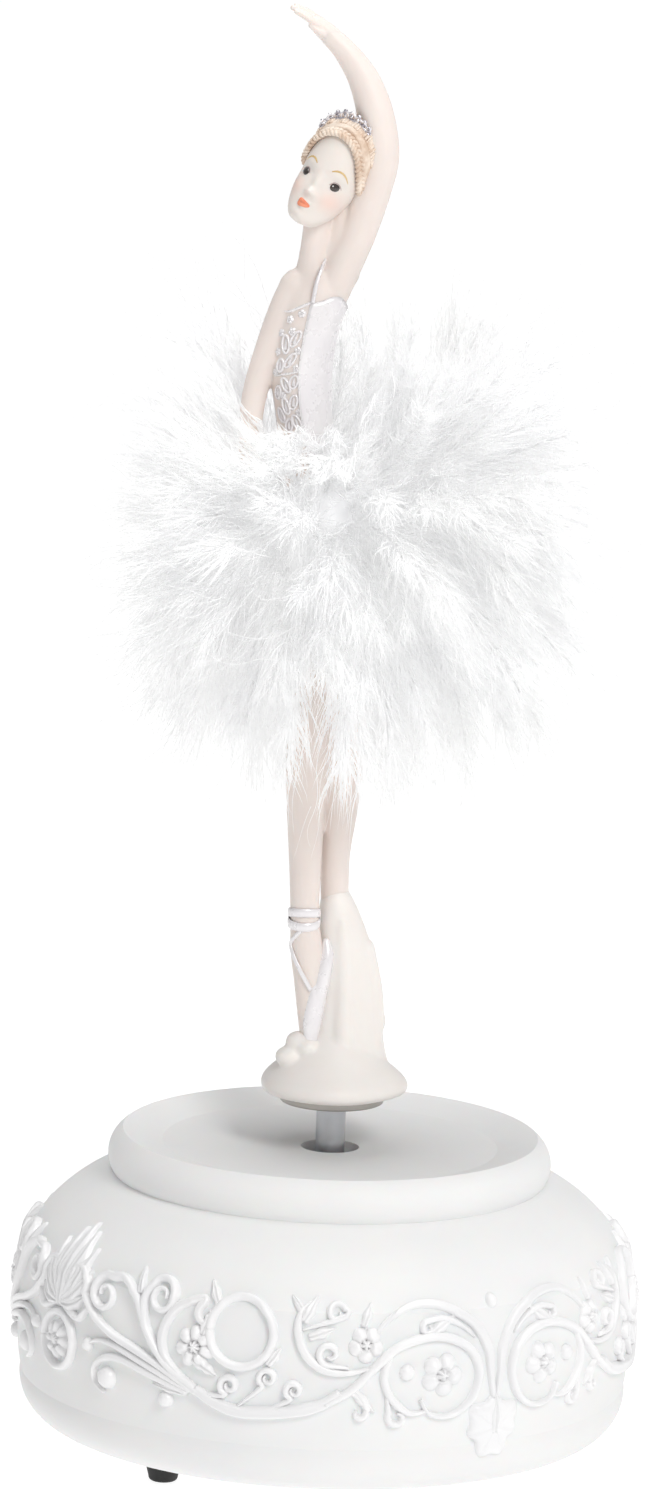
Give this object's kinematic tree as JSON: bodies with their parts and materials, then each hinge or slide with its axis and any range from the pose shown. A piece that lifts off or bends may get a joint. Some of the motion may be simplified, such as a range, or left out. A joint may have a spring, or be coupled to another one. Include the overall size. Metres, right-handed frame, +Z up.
{
  "type": "ballerina music box",
  "caption": "Domed round music box with a scroll frieze, a wind-up movement inside and a dancer in a feather tutu that turns on a spindle above the dished top.",
  "frame": {"origin": "on the dancer's spin axis, in the plane that the three feet rest on", "axes": "+Z up along the spindle; the dancer's front faces -Y; +X is to the dancer's left, which is the viewer's right"},
  "size_m": [0.1072, 0.1072, 0.2471],
  "materials": {
    "bisque": "matte",
    "pearl_relief": "satin",
    "porcelain": "satin",
    "feather_down": "matte",
    "white_cord": "matte",
    "zinc_steel": "satin",
    "key_steel": "satin",
    "spring_steel": "satin",
    "gear_brass": "satin",
    "foot_rubber": "matte",
    "plate_plastic": "matte",
    "fan_plastic": "satin"
  },
  "bodies": {
    "base": {"base_shell": "bisque", "scroll_frieze": "pearl_relief", "bottom_plate": "plate_plastic", "plate_screws": "zinc_steel", "foot_front_left": "foot_rubber", "foot_right": "foot_rubber", "foot_rear": "foot_rubber", "movement_bedplate": "zinc_steel", "movement_screws": "zinc_steel", "barrel_bridge": "zinc_steel", "clutch_spring": "spring_steel", "inner_bearing": "zinc_steel", "outer_bearing": "zinc_steel", "governor_frame": "zinc_steel", "comb_base": "zinc_steel", "music_comb": "spring_steel", "comb_screws": "zinc_steel"},
    "dancer": {"spring_barrel": "zinc_steel", "barrel_cover": "zinc_steel", "mainspring": "spring_steel", "output_spindle": "zinc_steel", "shaft_sleeve": "zinc_steel", "turntable_disc": "zinc_steel", "dancer_figure": "porcelain", "tutu_core_cord": "white_cord", "feather_tutu": "feather_down"},
    "winder": {"winding_arbor": "zinc_steel", "winding_key": "key_steel"},
    "cylinder": {"music_cylinder": "gear_brass", "cylinder_arbor": "zinc_steel", "cylinder_pinion": "gear_brass", "cylinder_end_gear": "gear_brass"},
    "idler": {"idler_arbor": "zinc_steel", "idler_pinion": "gear_brass", "worm_wheel": "gear_brass"},
    "governor": {"governor_worm": "zinc_steel", "governor_fan": "fan_plastic"}
  },
  "joints": [
    {"name": "dancer_spin", "type": "hinge", "parent": "base", "child": "dancer", "pos_m": [0, 0, 0.03], "axis": [0, 0, 1], "continuous": true},
    {"name": "key_wind", "type": "hinge", "parent": "base", "child": "winder", "pos_m": [0, 0, 0.012], "axis": [0, 0, 1], "range_deg": [0, 1800]},
    {"name": "cylinder_turn", "type": "hinge", "parent": "base", "child": "cylinder", "pos_m": [0.025, 0, 0.03092], "axis": [1, 0, 0], "continuous": true},
    {"name": "idler_turn", "type": "hinge", "parent": "base", "child": "idler", "pos_m": [0.03, 0.009, 0.03092], "axis": [1, 0, 0], "continuous": true},
    {"name": "governor_spin", "type": "hinge", "parent": "base", "child": "governor", "pos_m": [0.0312, 0.0137, 0.02], "axis": [0, 0, 1], "continuous": true}
  ],
  "couplings": [
    {"joint": "cylinder_turn", "follows": "dancer_spin", "ratio": 3},
    {"joint": "idler_turn", "follows": "dancer_spin", "ratio": -6},
    {"joint": "governor_spin", "follows": "dancer_spin", "ratio": 48}
  ]
}
